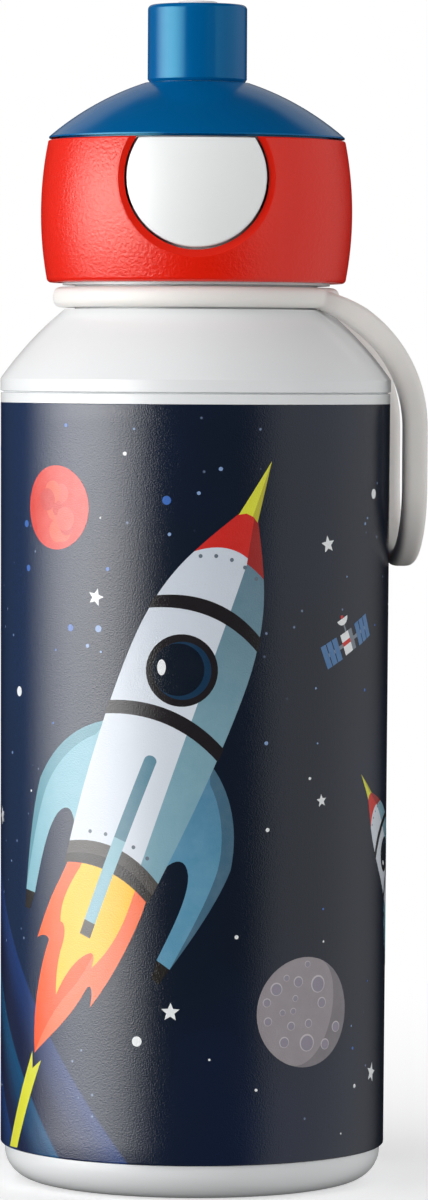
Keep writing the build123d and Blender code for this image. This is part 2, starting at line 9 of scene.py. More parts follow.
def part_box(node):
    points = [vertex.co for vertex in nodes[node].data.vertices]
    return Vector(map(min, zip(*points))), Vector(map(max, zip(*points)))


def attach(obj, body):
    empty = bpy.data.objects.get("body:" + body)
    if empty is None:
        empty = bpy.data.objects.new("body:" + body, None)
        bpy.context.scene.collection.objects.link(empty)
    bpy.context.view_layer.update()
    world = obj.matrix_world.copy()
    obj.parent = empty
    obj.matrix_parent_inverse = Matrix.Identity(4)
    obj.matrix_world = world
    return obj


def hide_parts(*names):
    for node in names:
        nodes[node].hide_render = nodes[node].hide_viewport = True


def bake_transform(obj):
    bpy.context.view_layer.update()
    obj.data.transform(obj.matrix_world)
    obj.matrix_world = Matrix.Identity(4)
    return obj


# Looks of the kids water bottle: plastics, printed sleeve, soft strap, floor, light and camera.
# The printed artwork is drawn flat, in millimetres: u runs round the sleeve from the front
# towards the strap's side, and z is the height above the table.

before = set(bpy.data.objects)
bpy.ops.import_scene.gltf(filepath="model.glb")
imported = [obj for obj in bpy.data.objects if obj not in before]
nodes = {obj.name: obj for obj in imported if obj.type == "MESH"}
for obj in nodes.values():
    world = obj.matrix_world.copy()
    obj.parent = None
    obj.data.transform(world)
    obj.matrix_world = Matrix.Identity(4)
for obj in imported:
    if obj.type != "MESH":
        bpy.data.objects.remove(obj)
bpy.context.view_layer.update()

MM = 0.001


# ---- sizes, from the frame where it gives them --------------------------------------

def rim_radius(node, low_z, high_z):
    """Largest radius of a CAD node between two heights."""
    level = [v.co for v in nodes[node].data.vertices if low_z <= v.co.z <= high_z]
    return max(hypot(co.x, co.y) for co in level)


sleeve_low, sleeve_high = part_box("label_wrap")
FILM_LOW_Z = sleeve_low.z
FILM_TOP_Z = sleeve_high.z
FILM_TOP_R = sleeve_high.x
FILM_LOW_R = rim_radius("label_wrap", FILM_LOW_Z, FILM_LOW_Z + 1 * MM)
FILM_THICK = 0.55 * MM
FILM_LOW_EDGE = 0.35 * MM     # radii of the sleeve's eased edges
FILM_TOP_EDGE = 0.12 * MM
ROLL_R = 33 * MM              # radius on which the flat drawing is rolled

STRAP_ANGLE = radians(8.7)    # turn of the strap about the neck, away from +X
BUTTON_Z = 169.6 * MM         # height of the button's middle


# ---- node helpers -------------------------------------------------------------------

def srgb(code):
    """Linear colour from a hexadecimal screen colour."""
    parts = [int(code[i:i + 2], 16) / 255 for i in (1, 3, 5)]
    return tuple(p / 12.92 if p <= 0.04045 else ((p + 0.055) / 1.055) ** 2.4 for p in parts) + (1.0,)


def add(tree, kind, inputs=None, **settings):
    """Adds a shader node; inputs are numbers, colours or the outputs of other nodes."""
    node = tree.nodes.new("ShaderNode" + kind)
    for name, value in settings.items():
        setattr(node, name, value)
    for name, value in (inputs or {}).items():
        if isinstance(value, bpy.types.NodeSocket):
            tree.links.new(value, node.inputs[name])
        else:
            node.inputs[name].default_value = value
    return node


def calc(tree, operation, first, second=0.0):
    return add(tree, "Math", {0: first, 1: second}, operation=operation).outputs[0]


def product(tree, first, *others):
    for value in others:
        first = calc(tree, "MULTIPLY", first, value)
    return first


def rest_of(tree, share):
    """What is left of 1 beside a share."""
    return calc(tree, "SUBTRACT", 1.0, share)


def distance(tree, first, second):
    """Length of the step made of two steps square to each other."""
    squares = [calc(tree, "MULTIPLY", step, step) for step in (first, second)]
    return calc(tree, "SQRT", calc(tree, "ADD", *squares))


def place_on_object(tree):
    """The x, y and z of the place on the object."""
    return add(tree, "SeparateXYZ", {0: add(tree, "TexCoord").outputs["Object"]}).outputs


def ramp_up(tree, value, start, end):
    """0 below start, 1 above end, smooth between."""
    node = add(
        tree, "MapRange", {"Value": value, "From Min": start, "From Max": end},
        interpolation_type="SMOOTHSTEP",
    )
    return node.outputs["Result"]


def window(tree, value, start, low, high, end):
    """1 between low and high, fading to 0 at start and end."""
    rise = ramp_up(tree, value, start, low)
    fall = ramp_up(tree, value, high, end)
    return product(tree, rise, rest_of(tree, fall))


def mix_color(tree, factor, first, second):
    node = add(tree, "Mix", data_type="RGBA")
    for socket, value in ((node.inputs[0], factor), (node.inputs[6], first), (node.inputs[7], second)):
        if isinstance(value, bpy.types.NodeSocket):
            tree.links.new(value, socket)
        else:
            socket.default_value = value
    return node.outputs[2]


def shaded(color, factor):
    return tuple(min(1.0, c * factor) for c in color[:3]) + (1.0,)


def noise(tree, scale, detail=2.0, roughness=0.5, vector=None):
    """Noise with features about 1/scale metres wide, fixed to the object."""
    if vector is None:
        vector = add(tree, "TexCoord").outputs["Object"]
    return add(
        tree, "TexNoise",
        {"Vector": vector, "Scale": scale, "Detail": detail, "Roughness": roughness},
    ).outputs["Fac"]


def relief(tree, shader, *layers):
    """Gives the surface a fine relief, from layers of (height pattern, depth in mm)."""
    normal = None
    for height, depth in layers:
        inputs = {"Height": height, "Distance": depth * MM, "Strength": 1.0}
        if normal is not None:
            inputs["Normal"] = normal
        normal = add(tree, "Bump", inputs).outputs["Normal"]
    tree.links.new(normal, shader.inputs["Normal"])


def new_look(name, color, roughness, **values):
    """A material with its base values; returns it with its node tree and shader."""
    material = bpy.data.materials.new(name)
    material.use_nodes = True
    tree = material.node_tree
    shader = tree.nodes["Principled BSDF"]
    shader.inputs["Base Color"].default_value = color
    shader.inputs["Roughness"].default_value = roughness
    for socket, value in values.items():
        shader.inputs[socket.replace("_", " ")].default_value = value
    return material, tree, shader


def tone(tree, shader, color, scale, amount):
    """Lets the colour drift a little lighter and darker."""
    drift = noise(tree, scale, detail=4.0)
    colors = mix_color(tree, drift, shaded(color, 1 - amount), shaded(color, 1 + amount))
    tree.links.new(colors, shader.inputs["Base Color"])


def vary_roughness(tree, shader, scale, low, high):
    limits = {"From Min": 0.3, "From Max": 0.7, "To Min": low, "To Max": high}
    node = add(tree, "MapRange", {"Value": noise(tree, scale, detail=3.0), **limits})
    tree.links.new(node.outputs["Result"], shader.inputs["Roughness"])


# ---- materials ----------------------------------------------------------------------

def white_plastic_look(name, color, roughness):
    """Moulded glossy plastic with a faint flow pattern and a very fine skin."""
    material, tree, shader = new_look(name, color, roughness)
    tone(tree, shader, color, scale=45.0, amount=0.015)
    vary_roughness(tree, shader, 160.0, roughness - 0.02, roughness + 0.03)
    waves = noise(tree, 90.0, detail=1.0)
    fine = noise(tree, 2500.0, detail=1.0)
    relief(tree, shader, (waves, 0.004), (fine, 0.0015))
    return material


def red_plastic_look():
    """Spark-eroded red plastic, smooth on the sloping ring round the button, which gets a darker red as
    painted shade in the recess.
    """
    color = srgb("#e31d08")
    material, tree, shader = new_look("red_plastic", color, 0.28, Specular_Tint=(1.0, 0.95, 0.86, 1.0))
    x, y, z = place_on_object(tree)
    from_button = distance(tree, x, calc(tree, "SUBTRACT", z, BUTTON_Z))
    outside = ramp_up(tree, from_button, 13.1 * MM, 13.4 * MM)
    behind = ramp_up(tree, y, -2 * MM, 2 * MM)
    textured = calc(tree, "MAXIMUM", outside, behind)
    drift = noise(tree, 60.0, detail=4.0)
    body = mix_color(tree, drift, shaded(color, 0.96), shaded(color, 1.04))
    # painted shade: a darker red on the sloping ring round the button, in the recess
    ring = shaded(color, 0.93)
    tree.links.new(mix_color(tree, textured, ring, body), shader.inputs["Base Color"])
    pits = noise(tree, 1700.0, detail=2.0, roughness=0.6)
    relief(tree, shader, (product(tree, pits, textured), 0.10))
    return material


def blue_plastic_look():
    color = srgb("#005a94")
    material, tree, shader = new_look("blue_plastic", color, 0.17, Specular_Tint=(0.3, 0.9, 1.0, 1.0))
    tone(tree, shader, color, scale=50.0, amount=0.03)
    vary_roughness(tree, shader, 220.0, 0.14, 0.21)
    relief(tree, shader, (noise(tree, 110.0, detail=1.0), 0.012))
    return material


def strap_look():
    """Soft matte elastomer: light, a little translucent, with a dusty skin."""
    color = srgb("#ece9e5")
    material, tree, shader = new_look(
        "strap_soft", color, 0.5, Subsurface_Weight=0.12, Subsurface_Scale=2.0 * MM,
        Subsurface_Radius=(1.0, 0.7, 0.5),
    )
    tone(tree, shader, color, scale=70.0, amount=0.02)
    vary_roughness(tree, shader, 300.0, 0.42, 0.55)
    relief(tree, shader, (noise(tree, 2600.0, detail=2.0), 0.01))
    return material


def seal_look():
    color = srgb("#d9d9d5")
    material, tree, shader = new_look("seal_soft", color, 0.6)
    tone(tree, shader, color, scale=150.0, amount=0.03)
    relief(tree, shader, (noise(tree, 3000.0, detail=2.0), 0.01))
    return material


def spring_look():
    """Drawn steel wire with fine marks along it."""
    color = srgb("#b9babd")
    material, tree, shader = new_look("spring_steel", color, 0.3, Metallic=1.0)
    tone(tree, shader, color, scale=900.0, amount=0.08)
    vary_roughness(tree, shader, 1500.0, 0.24, 0.38)
    return material


FILM_ROUGHNESS = 0.14


def film_surface(tree, shader):
    """Glossy film over the print: fine grain that glitters in a highlight, over slight waves."""
    waves = noise(tree, 120.0, detail=1.0)
    grain = noise(tree, 4500.0, detail=1.0, roughness=0.6)
    relief(tree, shader, (waves, 0.006), (grain, 0.042))


def ink_look(name, code, drift, fade):
    """One printed colour under the film, which drifts a little lighter and darker.
    fade is None, or (colour, from z, to z) in mm for a colour that changes with height."""
    color = srgb(code)
    material, tree, shader = new_look("ink_" + name, color, FILM_ROUGHNESS)
    base = color
    if fade:
        other, start, end = fade
        _, _, z = place_on_object(tree)
        base = mix_color(tree, ramp_up(tree, z, start * MM, end * MM), color, srgb(other))
    cloud = noise(tree, 260.0, detail=6.0, roughness=0.7)
    low = mix_color(tree, drift, base, (0.0, 0.0, 0.0, 1.0))
    high = mix_color(tree, drift, base, (1.0, 1.0, 1.0, 1.0))
    tree.links.new(mix_color(tree, cloud, low, high), shader.inputs["Base Color"])
    film_surface(tree, shader)
    return material


# The rays of light in the printed sky slant down to the right. A line square to them runs this much
# round the sleeve and this much up it.
RAY_U = 0.785
RAY_Z = 0.618

# Each ray: place of its sharp edge and width of the glow behind it, both in mm across the rays, then
# strength and colour.
RAYS = [
    (-4.9, 8.0, 0.65, "#27498a"),
    (-15.6, 8.0, 0.85, "#16618f"),
    (-25.5, 9.0, 0.70, "#174584"),
    (-38.0, 11.0, 0.55, "#1a5f92"),
    (-52.0, 10.0, 0.60, "#24478a"),
    (-66.0, 12.0, 0.50, "#17608c"),
]
EDGE_START = -0.2            # a ray's sharp edge fades between these, in mm
EDGE_END = 0.4
RAYS_END_U = -101 * MM       # the rays fade out between these, towards the back
RAYS_FULL_U = -74 * MM


def painted_lit_side(tree, sky, u):
    """Painted light: the sky made lighter and bluer towards the left-hand side, where the key light
    falls.
    """
    from_side = calc(tree, "ABSOLUTE", calc(tree, "ADD", u, 44 * MM))
    near = rest_of(tree, ramp_up(tree, from_side, 8 * MM, 40 * MM))
    return mix_color(tree, product(tree, near, 0.34), sky, srgb("#1c3f70"))


def light_rays(tree, sky, u, z):
    """Streaky rays of light over the sky, each with a sharp edge and a soft glow."""
    across = calc(tree, "ADD", product(tree, u, RAY_U), product(tree, z, RAY_Z))
    along = calc(tree, "SUBTRACT", product(tree, z, RAY_U), product(tree, u, RAY_Z))
    stretched = {0: product(tree, across, 190.0), 1: product(tree, along, 12.0)}
    flow = add(tree, "CombineXYZ", stretched).outputs[0]
    streak = ramp_up(tree, noise(tree, 1.0, detail=3.0, vector=flow), 0.3, 0.7)
    flicker = calc(tree, "ADD", 0.6, product(tree, streak, 0.4))
    fade = ramp_up(tree, u, RAYS_END_U, RAYS_FULL_U)
    first = RAYS[0][0]
    past_first = ramp_up(tree, across, (first + EDGE_START) * MM, (first + EDGE_END) * MM)
    under_rays = calc(tree, "SUBTRACT", fade, past_first)
    sky = mix_color(tree, product(tree, under_rays, 0.8), sky, srgb("#192143"))
    for edge, width, strength, code in RAYS:
        limits = [side * MM for side in (edge - width, edge, edge + EDGE_START, edge + EDGE_END)]
        glow = window(tree, across, *limits)
        sky = mix_color(tree, product(tree, glow, flicker, fade, strength), sky, srgb(code))
    return sky


def star_dust(tree, sky):
    """Tiny pale specks, in patches."""
    cells = {"Vector": add(tree, "TexCoord").outputs["Object"], "Scale": 260.0}
    from_speck = add(tree, "TexVoronoi", cells, feature="F1").outputs["Distance"]
    speck = rest_of(tree, ramp_up(tree, from_speck, 0.03, 0.08))
    patch = ramp_up(tree, noise(tree, 55.0, detail=0.0), 0.56, 0.62)
    return mix_color(tree, product(tree, speck, patch, 0.5), sky, srgb("#9fb6dd"))


def sky_look():
    """The printed night sky: navy with drifting haze, slanting rays of light and star dust, with painted
    light on the left-hand side.
    """
    material, tree, shader = new_look("label_film", srgb("#101830"), FILM_ROUGHNESS)
    x, y, z = place_on_object(tree)
    angle = calc(tree, "ARCTAN2", x, product(tree, y, -1.0))
    u = product(tree, angle, ROLL_R)
    haze = ramp_up(tree, noise(tree, 16.0, detail=3.0), 0.42, 0.75)
    sky = mix_color(tree, haze, srgb("#161f2e"), srgb("#18243e"))
    # painted light: the sky lighter and bluer on the side where the key light falls
    sky = painted_lit_side(tree, sky, u)
    sky = light_rays(tree, sky, u, z)
    sky = star_dust(tree, sky)
    tree.links.new(sky, shader.inputs["Base Color"])
    film_surface(tree, shader)
    return material


def dress(node, material):
    """Gives a CAD node its finished material."""
    slots = nodes[node].data.materials
    slots.clear()
    slots.append(material)


white = white_plastic_look("white_plastic", srgb("#e9ebec"), 0.24)
button_white = white_plastic_look("button_white", srgb("#eef0f0"), 0.30)
red = red_plastic_look()
blue = blue_plastic_look()
soft = strap_look()
seal = seal_look()
steel = spring_look()

for name in ("bottle_cup", "bottle_shoulder", "cap_insert", "valve_pin", "latch_slide", "popup_carrier"):
    dress(name, white)
dress("push_button", button_white)
dress("cap_shell", red)
for name in ("popup_dome", "spout_barrel"):
    dress(name, blue)
for name in ("neck_gasket", "pin_seal", "vent_valve", "stem_seal"):
    dress(name, seal)
for name in ("button_spring_left", "button_spring_right", "lift_spring"):
    dress(name, steel)


# ---- mesh helpers -------------------------------------------------------------------

def mesh_object(name, points, faces, materials, face_materials=None):
    mesh = bpy.data.meshes.new(name)
    mesh.from_pydata([tuple(p) for p in points], [], faces)
    for material in materials:
        mesh.materials.append(material)
    if face_materials:
        mesh.polygons.foreach_set("material_index", face_materials)
    mesh.polygons.foreach_set("use_smooth", [True] * len(mesh.polygons))
    mesh.update()
    piece = bpy.data.objects.new(name, mesh)
    bpy.context.scene.collection.objects.link(piece)
    return piece


def revolved(name, profile, segments, material):
    """A closed outline of (radius, height) points, turned about the bottle's axis."""
    points = []
    faces = []
    count = len(profile)
    for i in range(segments):
        angle = 2 * pi * i / segments
        points += [(r * sin(angle), -r * cos(angle), z) for r, z in profile]
        here = i * count
        there = (i + 1) % segments * count
        for j in range(count):
            k = (j + 1) % count
            faces.append((here + j, there + j, there + k, here + k))
    return mesh_object(name, points, faces, [material])


def quarter(center, radius, start, steps=5):
    """Points of a quarter circle that begins at the angle start, in degrees."""
    angles = [radians(start + 90 * i / steps) for i in range(steps + 1)]
    return [(center[0] + radius * cos(a), center[1] + radius * sin(a)) for a in angles]


# ---- printed sleeve -----------------------------------------------------------------

def film_radius(z):
    share = (z - FILM_LOW_Z) / (FILM_TOP_Z - FILM_LOW_Z)
    return FILM_LOW_R + share * (FILM_TOP_R - FILM_LOW_R)


def make_film():
    """The clear-coated sleeve, with eased edges."""
    inner_low = film_radius(FILM_LOW_Z) - FILM_THICK
    inner_top = film_radius(FILM_TOP_Z) - FILM_THICK
    side_low = FILM_LOW_Z + FILM_LOW_EDGE
    side_top = FILM_TOP_Z - FILM_TOP_EDGE
    low = quarter((film_radius(side_low) - FILM_LOW_EDGE, side_low), FILM_LOW_EDGE, -90)
    top = quarter((film_radius(FILM_TOP_Z) - FILM_TOP_EDGE, side_top), FILM_TOP_EDGE, 0)
    rows = 40
    side = []
    for i in range(1, rows):
        z = side_low + (side_top - side_low) * i / rows
        side.append((film_radius(z), z))
    profile = [(inner_low, FILM_LOW_Z)] + low + side + top + [(inner_top, FILM_TOP_Z)]
    film = revolved("label_film", profile, 480, sky_look())
    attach(film, "bottle")
    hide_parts("label_wrap")


make_film()

INK_HEIGHT = 0.03 * MM   # how far the print stands proud of the film
INK_SINK = 0.12 * MM     # how deep its underside lies inside the film
STRIP = 1.0              # the drawing is cut into strips this wide, so that it rolls smoothly
STRIP_SHIFT = 0.0137     # keeps the cuts off the drawing's own points


def rolled(u, z, lift):
    """A point of the flat drawing, in mm, rolled onto the sleeve."""
    angle = u * MM / ROLL_R
    radius = film_radius(z * MM) + lift
    return (radius * sin(angle), -radius * cos(angle), z * MM)


def counterclockwise(outline):
    """The outline in the order that the triangulation needs, without doubled points."""
    points = []
    for before, point in zip(outline[-1:] + outline[:-1], outline):
        if hypot(point[0] - before[0], point[1] - before[1]) > 1e-4:
            points.append(point)
    area = sum(a[0] * b[1] - b[0] * a[1] for a, b in zip(points, points[1:] + points[:1]))
    return points if area > 0 else points[::-1]


def print_piece(name, shapes):
    """Rolls flat shapes onto the sleeve as one thin closed skin of ink.
    shapes is a list of (ink, outline); a later shape covers the earlier ones."""
    points = []
    outlines = []
    for ink, shape in shapes:
        outline = counterclockwise(shape)
        outlines.append(list(range(len(points), len(points) + len(outline))))
        points += outline
    left = min(p[0] for p in points)
    right = max(p[0] for p in points)
    bottom = min(p[1] for p in points) - 0.5
    top = max(p[1] for p in points) + 0.5
    cuts = []
    for i in range(int(left / STRIP) - 1, int(right / STRIP) + 2):
        u = i * STRIP + STRIP_SHIFT
        cuts.append((len(points), len(points) + 1))
        points += [(u, bottom), (u, top)]
    flat = [Vector(p) for p in points]
    found, _, triangles, _, _, sources = delaunay_2d_cdt(flat, cuts, outlines, 0, 1e-5)
    kept = [(t, max(s)) for t, s in zip(triangles, sources) if s]
    names = sorted(set(ink for ink, _ in shapes))
    used = sorted(set(i for t, _ in kept for i in t))
    index = {old: new for new, old in enumerate(used)}
    count = len(used)
    surface = [rolled(found[i].x, found[i].y, INK_HEIGHT) for i in used]
    surface += [rolled(found[i].x, found[i].y, -INK_SINK) for i in used]
    faces = []
    colors = []
    rims = {}
    for triangle, shape in kept:
        a, b, c = (index[i] for i in triangle)
        color = names.index(shapes[shape][0])
        faces += [(a, b, c), (c + count, b + count, a + count)]
        colors += [color, color]
        for edge in ((a, b), (b, c), (c, a)):
            if edge[::-1] in rims:
                del rims[edge[::-1]]
            else:
                rims[edge] = color
    for (a, b), color in rims.items():
        faces.append((b, a, a + count, b + count))
        colors.append(color)
    piece = mesh_object(name, surface, faces, [inks[n] for n in names], colors)
    normals = [Vector((p[0], p[1], 0)).normalized() for p in surface]
    piece.data.normals_split_custom_set_from_vertices(normals)
    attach(piece, "bottle")


# ---- drawing helpers, in millimetres ------------------------------------------------

def bezier(a, b, c, d, steps=10):
    """Points of a curve from a to d, without d itself."""
    points = []
    for i in range(steps):
        t = i / steps
        k = (1 - t) ** 3, 3 * t * (1 - t) ** 2, 3 * t * t * (1 - t), t**3
        points.append(tuple(sum(f * p[axis] for f, p in zip(k, (a, b, c, d))) for axis in (0, 1)))
    return points


def path(*curves):
    """A closed outline from runs: each is a point, or the four points of a curve."""
    outline = []
    for run in curves:
        outline += bezier(*run) if len(run) == 4 else [run]
    return outline


def disc(u, z, radius, flat=1.0, turn=0.0, steps=40):
    """A circle, or an ellipse when flat isn't 1."""
    points = []
    for i in range(steps):
        a = 2 * pi * i / steps
        p, q = radius * cos(a), radius * flat * sin(a)
        points.append((u + p * cos(turn) - q * sin(turn), z + p * sin(turn) + q * cos(turn)))
    return points


def star(u, z, radius, turn):
    """A five-pointed star."""
    points = []
    for i in range(10):
        r = radius * (0.45 if i % 2 else 1.0)
        a = turn + pi / 2 + pi * i / 5
        points.append((u + r * cos(a), z + r * sin(a)))
    return points


def placed(shapes, u, z, lean, scale):
    """Moves shapes drawn upright about (0, 0) to their place; lean tips them to the right."""
    t = radians(lean)
    moved = []
    for ink, outline in shapes:
        moved.append((ink, [
            (u + scale * (p * cos(t) + q * sin(t)), z + scale * (q * cos(t) - p * sin(t)))
            for p, q in outline
        ]))
    return moved


def mirrored(outline):
    return [(-p, q) for p, q in reversed(outline)]


# ---- the rocket, upright with its tail at (0, 0) ------------------------------------

HULL_TAIL = 3.4
HULL_WAIST = 38.0
NOSE_BASE = 57.0
NOSE_TOP = 65.6
SPIKE_TOP = 75.6
WINDOW_MIDDLE = 38.0
HOOP_BULGE = 2.6         # how far the bands across the hull bow towards the nose
BAR_SIDE = 1.1           # half the width of the fin that is seen edge on


def hull_side():
    """The hull's right-hand edge from the tail up to the top of the nose."""
    edge = bezier((8.5, 0.0), (9.9, 14.0), (10.5, 27.0), (10.3, HULL_WAIST), 24)
    edge += bezier((10.3, HULL_WAIST), (10.1, 47.0), (8.4, 52.6), (6.3, NOSE_BASE), 24)
    edge += bezier((6.3, NOSE_BASE), (4.8, 60.2), (3.2, 63.0), (1.7, NOSE_TOP), 12)
    return edge + [(1.7, NOSE_TOP)]


def hull_width(s):
    """Half the hull's width at a height."""
    edge = hull_side()
    for (w0, s0), (w1, s1) in zip(edge, edge[1:]):
        if s0 <= s <= s1:
            return w0 + (w1 - w0) * (s - s0) / (s1 - s0)
    return edge[-1][0] if s > edge[-1][1] else edge[0][0]


def hoop(s, bulge, extra=0.0, steps=16):
    """An arc across the hull, from left to right, that bulges towards the nose."""
    width = hull_width(s) + extra
    return [
        (width * (2 * i / steps - 1), s + bulge * (1 - (2 * i / steps - 1) ** 2))
        for i in range(steps + 1)
    ]


def hull_part(low, high, bulge_low=HOOP_BULGE, bulge_high=HOOP_BULGE):
    """The hull between two heights, with arcs across it at both ends."""
    right = [(w, s) for w, s in hull_side() if low < s < high]
    left = [(-w, s) for w, s in reversed(right)]
    return hoop(low, bulge_low) + right + hoop(high, bulge_high)[::-1] + left


def shade_part(low, high, start, end, bulge=HOOP_BULGE):
    """The dark right-hand side of the hull between two heights."""
    right = [(w, s) for w, s in hull_side() if low < s < high]
    lift_low = bulge * (1 - (start / hull_width(low)) ** 2)
    lift_high = bulge * (1 - (end / hull_width(high)) ** 2)
    lower = [p for p in hoop(low, bulge) if p[0] > start + 0.2]
    upper = [p for p in hoop(high, bulge) if p[0] > end + 0.2]
    return [(start, low + lift_low)] + lower + right + upper[::-1] + [(end, high + lift_high)]


def band(low, high):
    return hoop(low, HOOP_BULGE, 0.25) + hoop(high, HOOP_BULGE, 0.25)[::-1]


def rivets(s, shares):
    """Rivets along an arc across the hull, each at a share of the hull's half width."""
    row = []
    for share in shares:
        rise = HOOP_BULGE * (1 - share**2)
        row.append(("rivet", disc(share * hull_width(s), s + rise, 0.34, steps=12)))
    return row


def rocket_fin():
    """The right-hand fin: an outline, its dark outer strip and its dark foot."""
    outer = bezier((9.4, 25.5), (14.6, 22.4), (18.0, 17.0), (19.2, 10.5), 14)
    outer += bezier((19.2, 10.5), (19.3, 5.5), (17.7, -2.0), (16.0, -8.6), 12)
    inner = bezier((13.4, -8.0), (14.0, -1.0), (14.6, 6.4), (11.9, 8.4), 12)
    inner += bezier((11.9, 8.4), (10.8, 9.2), (9.6, 8.2), (8.9, 6.6), 6)
    fin = outer + [(16.0, -8.6)] + inner + [(8.9, 6.6)]
    strip = outer + bezier((16.0, -8.6), (16.8, -2.0), (17.6, 5.0), (17.2, 9.6), 10)
    strip += bezier((17.2, 9.6), (16.6, 14.8), (13.4, 20.6), (9.5, 23.2), 10)
    foot = [(13.4, -8.0), (16.0, -8.6), (15.2, -11.6), (13.7, -11.2)]
    return fin, strip, foot


def flame():
    """The burning jet under the tail: its outline, its right-hand light side and its core."""
    right_edge = (
        ((-3.4, -33.0), (-0.4, -28.0), (2.4, -24.0), (3.6, -17.6)),
        ((3.6, -17.6), (4.0, -16.2), (5.0, -17.4), (5.4, -20.2)),
        ((5.4, -20.2), (7.2, -15.0), (8.4, -8.0), (8.2, 0.6)),
    )
    body = path(
        (-7.6, 2.6),
        ((-8.4, -3.0), (-9.4, -7.0), (-9.6, -11.0), (-9.9, -14.6)),
        ((-9.9, -14.6), (-8.9, -13.4), (-7.6, -13.0), (-7.0, -13.6)),
        ((-7.0, -13.6), (-7.4, -20.0), (-6.4, -27.0), (-3.4, -33.0)),
        *right_edge,
        (7.9, 2.6),
    )
    light = path(
        (7.9, 2.6),
        (3.0, 2.6),
        ((3.0, 0.6), (3.4, -8.0), (2.8, -15.0), (0.6, -19.5)),
        ((0.6, -19.5), (-1.4, -23.5), (-2.6, -28.0), (-3.4, -33.0)),
        *right_edge,
    )
    core = path(
        (5.6, 2.6),
        (-5.0, 2.6),
        ((-5.2, 0.6), (-6.4, -4.0), (-6.8, -7.0), (-5.6, -9.6)),
        ((-5.6, -9.6), (-4.6, -9.2), (-3.6, -11.0), (-3.8, -14.0)),
        ((-3.8, -14.0), (-3.6, -17.0), (-3.0, -19.0), (-2.0, -21.4)),
        ((-2.0, -21.4), (-1.4, -17.0), (0.0, -13.4), (2.0, -11.8)),
        ((2.0, -11.8), (2.8, -11.4), (3.2, -12.4), (3.2, -14.0)),
        ((3.2, -14.0), (5.4, -10.0), (6.2, -5.0), (5.6, 0.6)),
    )
    return body, light, core


def middle_fin():
    """The fin in the middle, seen edge on: its dark top, its body and its foot."""
    side = BAR_SIDE
    tip = ((-side, 22.0), (-side, 23.4), (side, 23.4), (side, 22.0))
    top = path((-side, 22.0), tip, (side, 8.0), (-side, 8.0))
    body = [(-side, 8.0), (-side, -7.0), (side, -7.0), (side, 8.0)]
    foot = [(-side, -7.0), (-side, -9.6), (side, -9.6), (side, -7.0)]
    return top, body, foot


def rocket_shapes():
    """The rocket with its flame, from the back to the front of the drawing."""
    body, light, core = flame()
    fin, strip, foot = rocket_fin()
    bar_top, bar, bar_foot = middle_fin()
    shapes = [
        ("flame", body), ("flame_light", light), ("flame_core", core),
        ("fin_light", mirrored(fin)), ("fin_edge_light", mirrored(strip)), ("dark", mirrored(foot)),
        ("fin", fin), ("fin_edge", strip), ("dark", foot),
        ("hull", hull_part(HULL_TAIL, NOSE_BASE)),
        ("shade", shade_part(HULL_TAIL, NOSE_BASE, 5.0, 2.6)),
        ("tail", hull_part(0.0, HULL_TAIL + 0.4, bulge_low=2.2)),
        ("tail_dark", hull_part(0.0, 1.6, bulge_low=2.2)),
        ("nose", hull_part(NOSE_BASE, NOSE_TOP, bulge_high=0.6)),
        ("nose_dark", shade_part(NOSE_BASE, NOSE_TOP, 2.6, 0.7, bulge=1.6)),
        ("spike", [(-1.75, 65.3), (-0.6, 66.0), (0.9, 65.9), (1.75, 65.3), (0.25, SPIKE_TOP)]),
        ("spike_dark", [(0.6, 66.0), (1.75, 65.3), (0.25, SPIKE_TOP)]),
        ("band", band(45.4, 47.8)),
        ("band", band(26.2, 28.6)),
        ("bar_dark", bar_top),
        ("bar", bar),
        ("tail", bar_foot),
        ("band", disc(-0.8, WINDOW_MIDDLE, 6.0)),
        ("window_glow", disc(-0.7, WINDOW_MIDDLE, 4.8)),
        ("window", disc(-1.4, 37.9, 4.35)),
        ("glint", disc(-4.1, 37.2, 1.3, flat=0.55, turn=radians(112))),
    ]
    shapes += rivets(NOSE_BASE - 1.6, (-0.72, -0.38, 0.0, 0.36, 0.72))
    shapes += rivets(HULL_TAIL + 2.0, (-0.62, -0.3, 0.3, 0.62))
    return shapes


def streak_shapes():
    """The thin trail below the flame."""
    return [("spike", [(-4.4, -35.6), (-3.2, -38.4), (-1.4, -35.9), (-3.0, -54.6), (-6.2, -56.0)])]


# ---- other printed things -----------------------------------------------------------

def planet_shapes(radius, seed):
    """A planet with soft blotches."""
    dice = random.Random(seed)
    shapes = [("planet", disc(0, 0, radius, steps=64))]
    blotches = ("planet_light", "planet_dark", "planet_warm")
    for i in range(14):
        r = radius * dice.uniform(0.08, 0.3)
        far = dice.uniform(0.0, radius - r * 1.1)
        a = dice.uniform(0, 2 * pi)
        shapes.append((blotches[i % 3], disc(far * cos(a), far * sin(a), r)))
    return shapes


CRATERS = 17
CRATER_SIZES = (0.06, 0.08, 0.1, 0.12, 0.16, 0.2)   # as shares of the moon's radius
CRATER_GAP = 0.7


def moon_shapes(radius, seed):
    """A grey moon with a shaded side and craters."""
    dice = random.Random(seed)
    shapes = [("moon", disc(0, 0, radius, steps=64))]
    shade = [p for p in disc(0, 0, radius, steps=64) if p[0] >= -0.1]
    inner = [(0.62 * p, q) for p, q in shade]
    shade.sort(key=lambda p: p[1])
    inner.sort(key=lambda p: -p[1])
    shapes.append(("moon_dark", shade + inner))
    craters = []
    while len(craters) < CRATERS:
        r = radius * dice.choice(CRATER_SIZES)
        far = radius * sqrt(dice.random())
        a = dice.uniform(0, 2 * pi)
        x, y = far * cos(a), far * sin(a)
        clear = all(hypot(x - cx, y - cy) > r + cr + CRATER_GAP for cx, cy, cr in craters)
        if far + r < radius * 0.94 and clear:
            craters.append((x, y, r))
            shapes.append(("crater_rim", disc(x, y, r, steps=20)))
            shapes.append(("crater", disc(x + 0.05 * r, y - 0.05 * r, r * 0.86, steps=20)))
    return shapes


